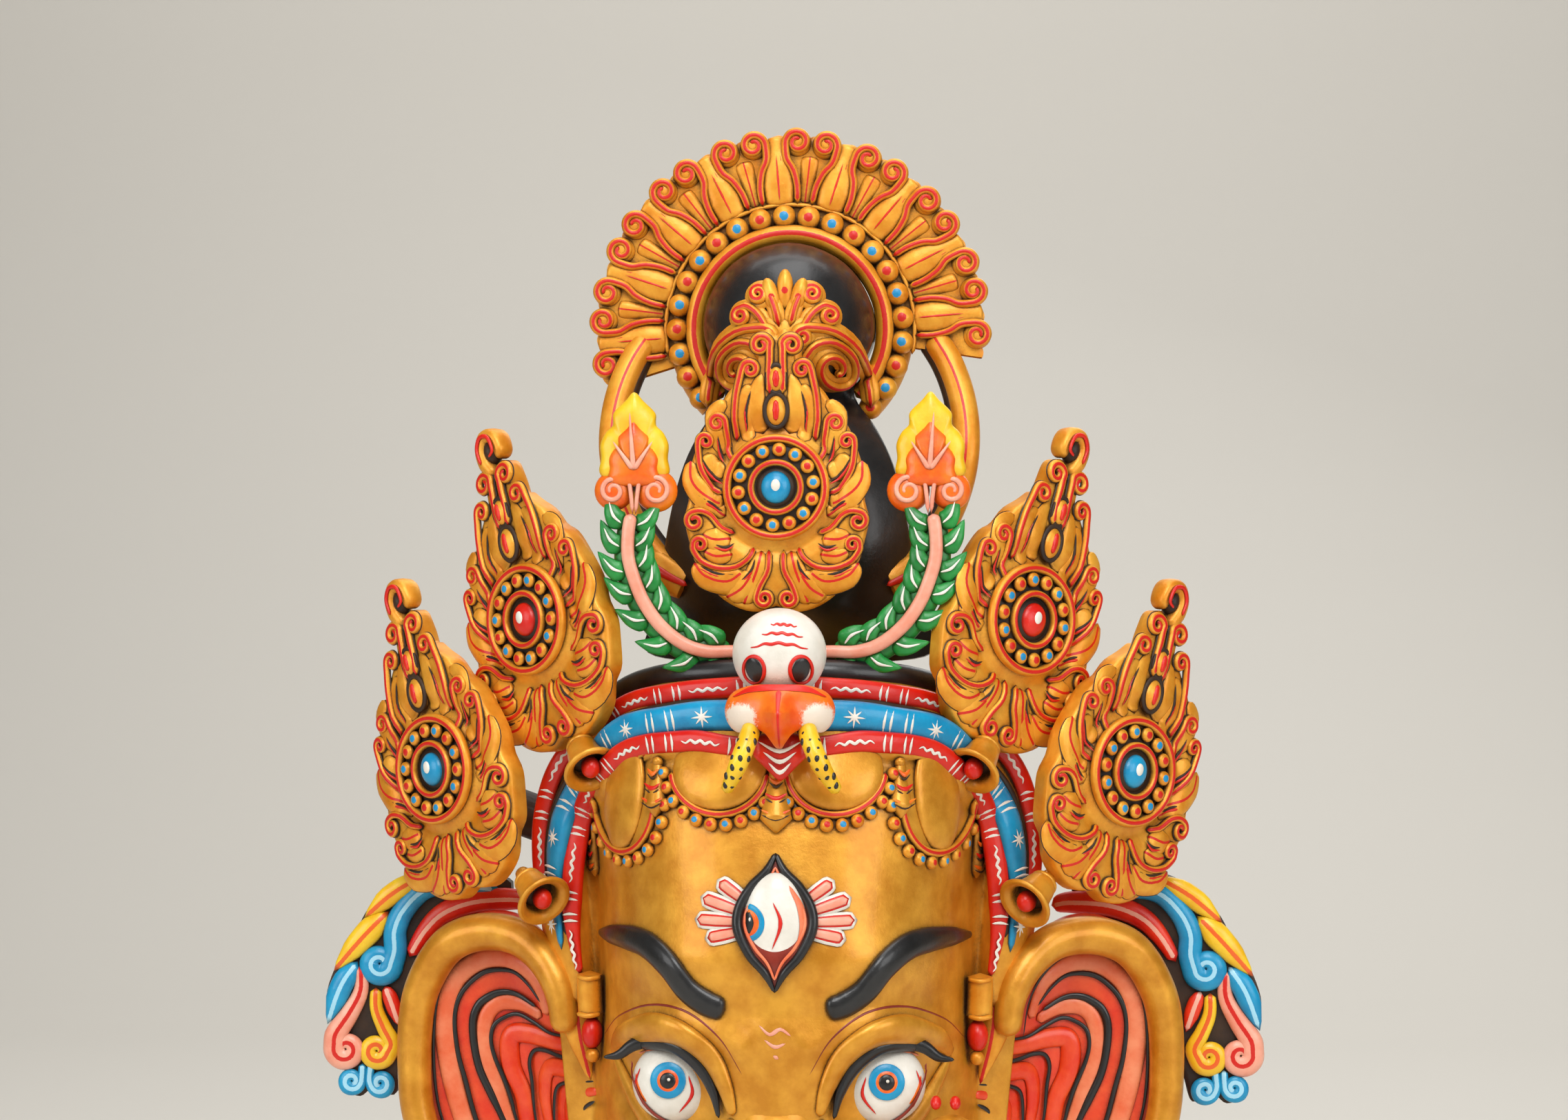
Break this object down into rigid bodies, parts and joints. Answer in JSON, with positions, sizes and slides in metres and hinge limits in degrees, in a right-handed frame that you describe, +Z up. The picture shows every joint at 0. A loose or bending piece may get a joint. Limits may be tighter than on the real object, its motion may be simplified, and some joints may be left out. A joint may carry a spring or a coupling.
{
  "type": "ganesha mask",
  "caption": "Large carved and painted wooden wall mask of an elephant-headed deity with third eye, leaf crown, skull, garlands, topknot and gold halo.",
  "frame": {"origin": "hanging point on the flat back of the topknot, in the wall plane", "axes": "+Z up as it hangs, +X to the viewer's right, the face looks along -Y, the wall is the plane y = 0"},
  "size_m": [0.578, 0.2093, 0.8004],
  "materials": {
    "gold_paint_face": "satin gold paint on carved wood, worn and darkened in the hollows",
    "gold_paint": "satin gold paint on carved wood, with red lines and dark hollows",
    "black_lacquer": "glossy black paint on carved wood",
    "red_lacquer": "glossy red paint on carved wood, with black lines",
    "green_lacquer": "glossy green paint on carved wood",
    "bone_white_lacquer": "glossy off-white paint on carved wood",
    "blue_lacquer": "glossy blue, yellow and pink paint on carved wood"
  },
  "bodies": {
    "root": {"mask_face": "gold_paint_face", "halo": "gold_paint", "topknot": "black_lacquer", "skull": "bone_white_lacquer", "leaf_centre": "gold_paint", "leaf_inner_left": "gold_paint", "leaf_inner_right": "gold_paint", "leaf_outer_left": "gold_paint", "leaf_outer_right": "gold_paint", "garland_left": "green_lacquer", "garland_right": "green_lacquer", "ear_left": "red_lacquer", "ear_right": "red_lacquer", "ribbon_left": "blue_lacquer", "ribbon_right": "blue_lacquer", "tusk_left": "bone_white_lacquer", "tusk_right": "bone_white_lacquer"}
  },
  "joints": []
}
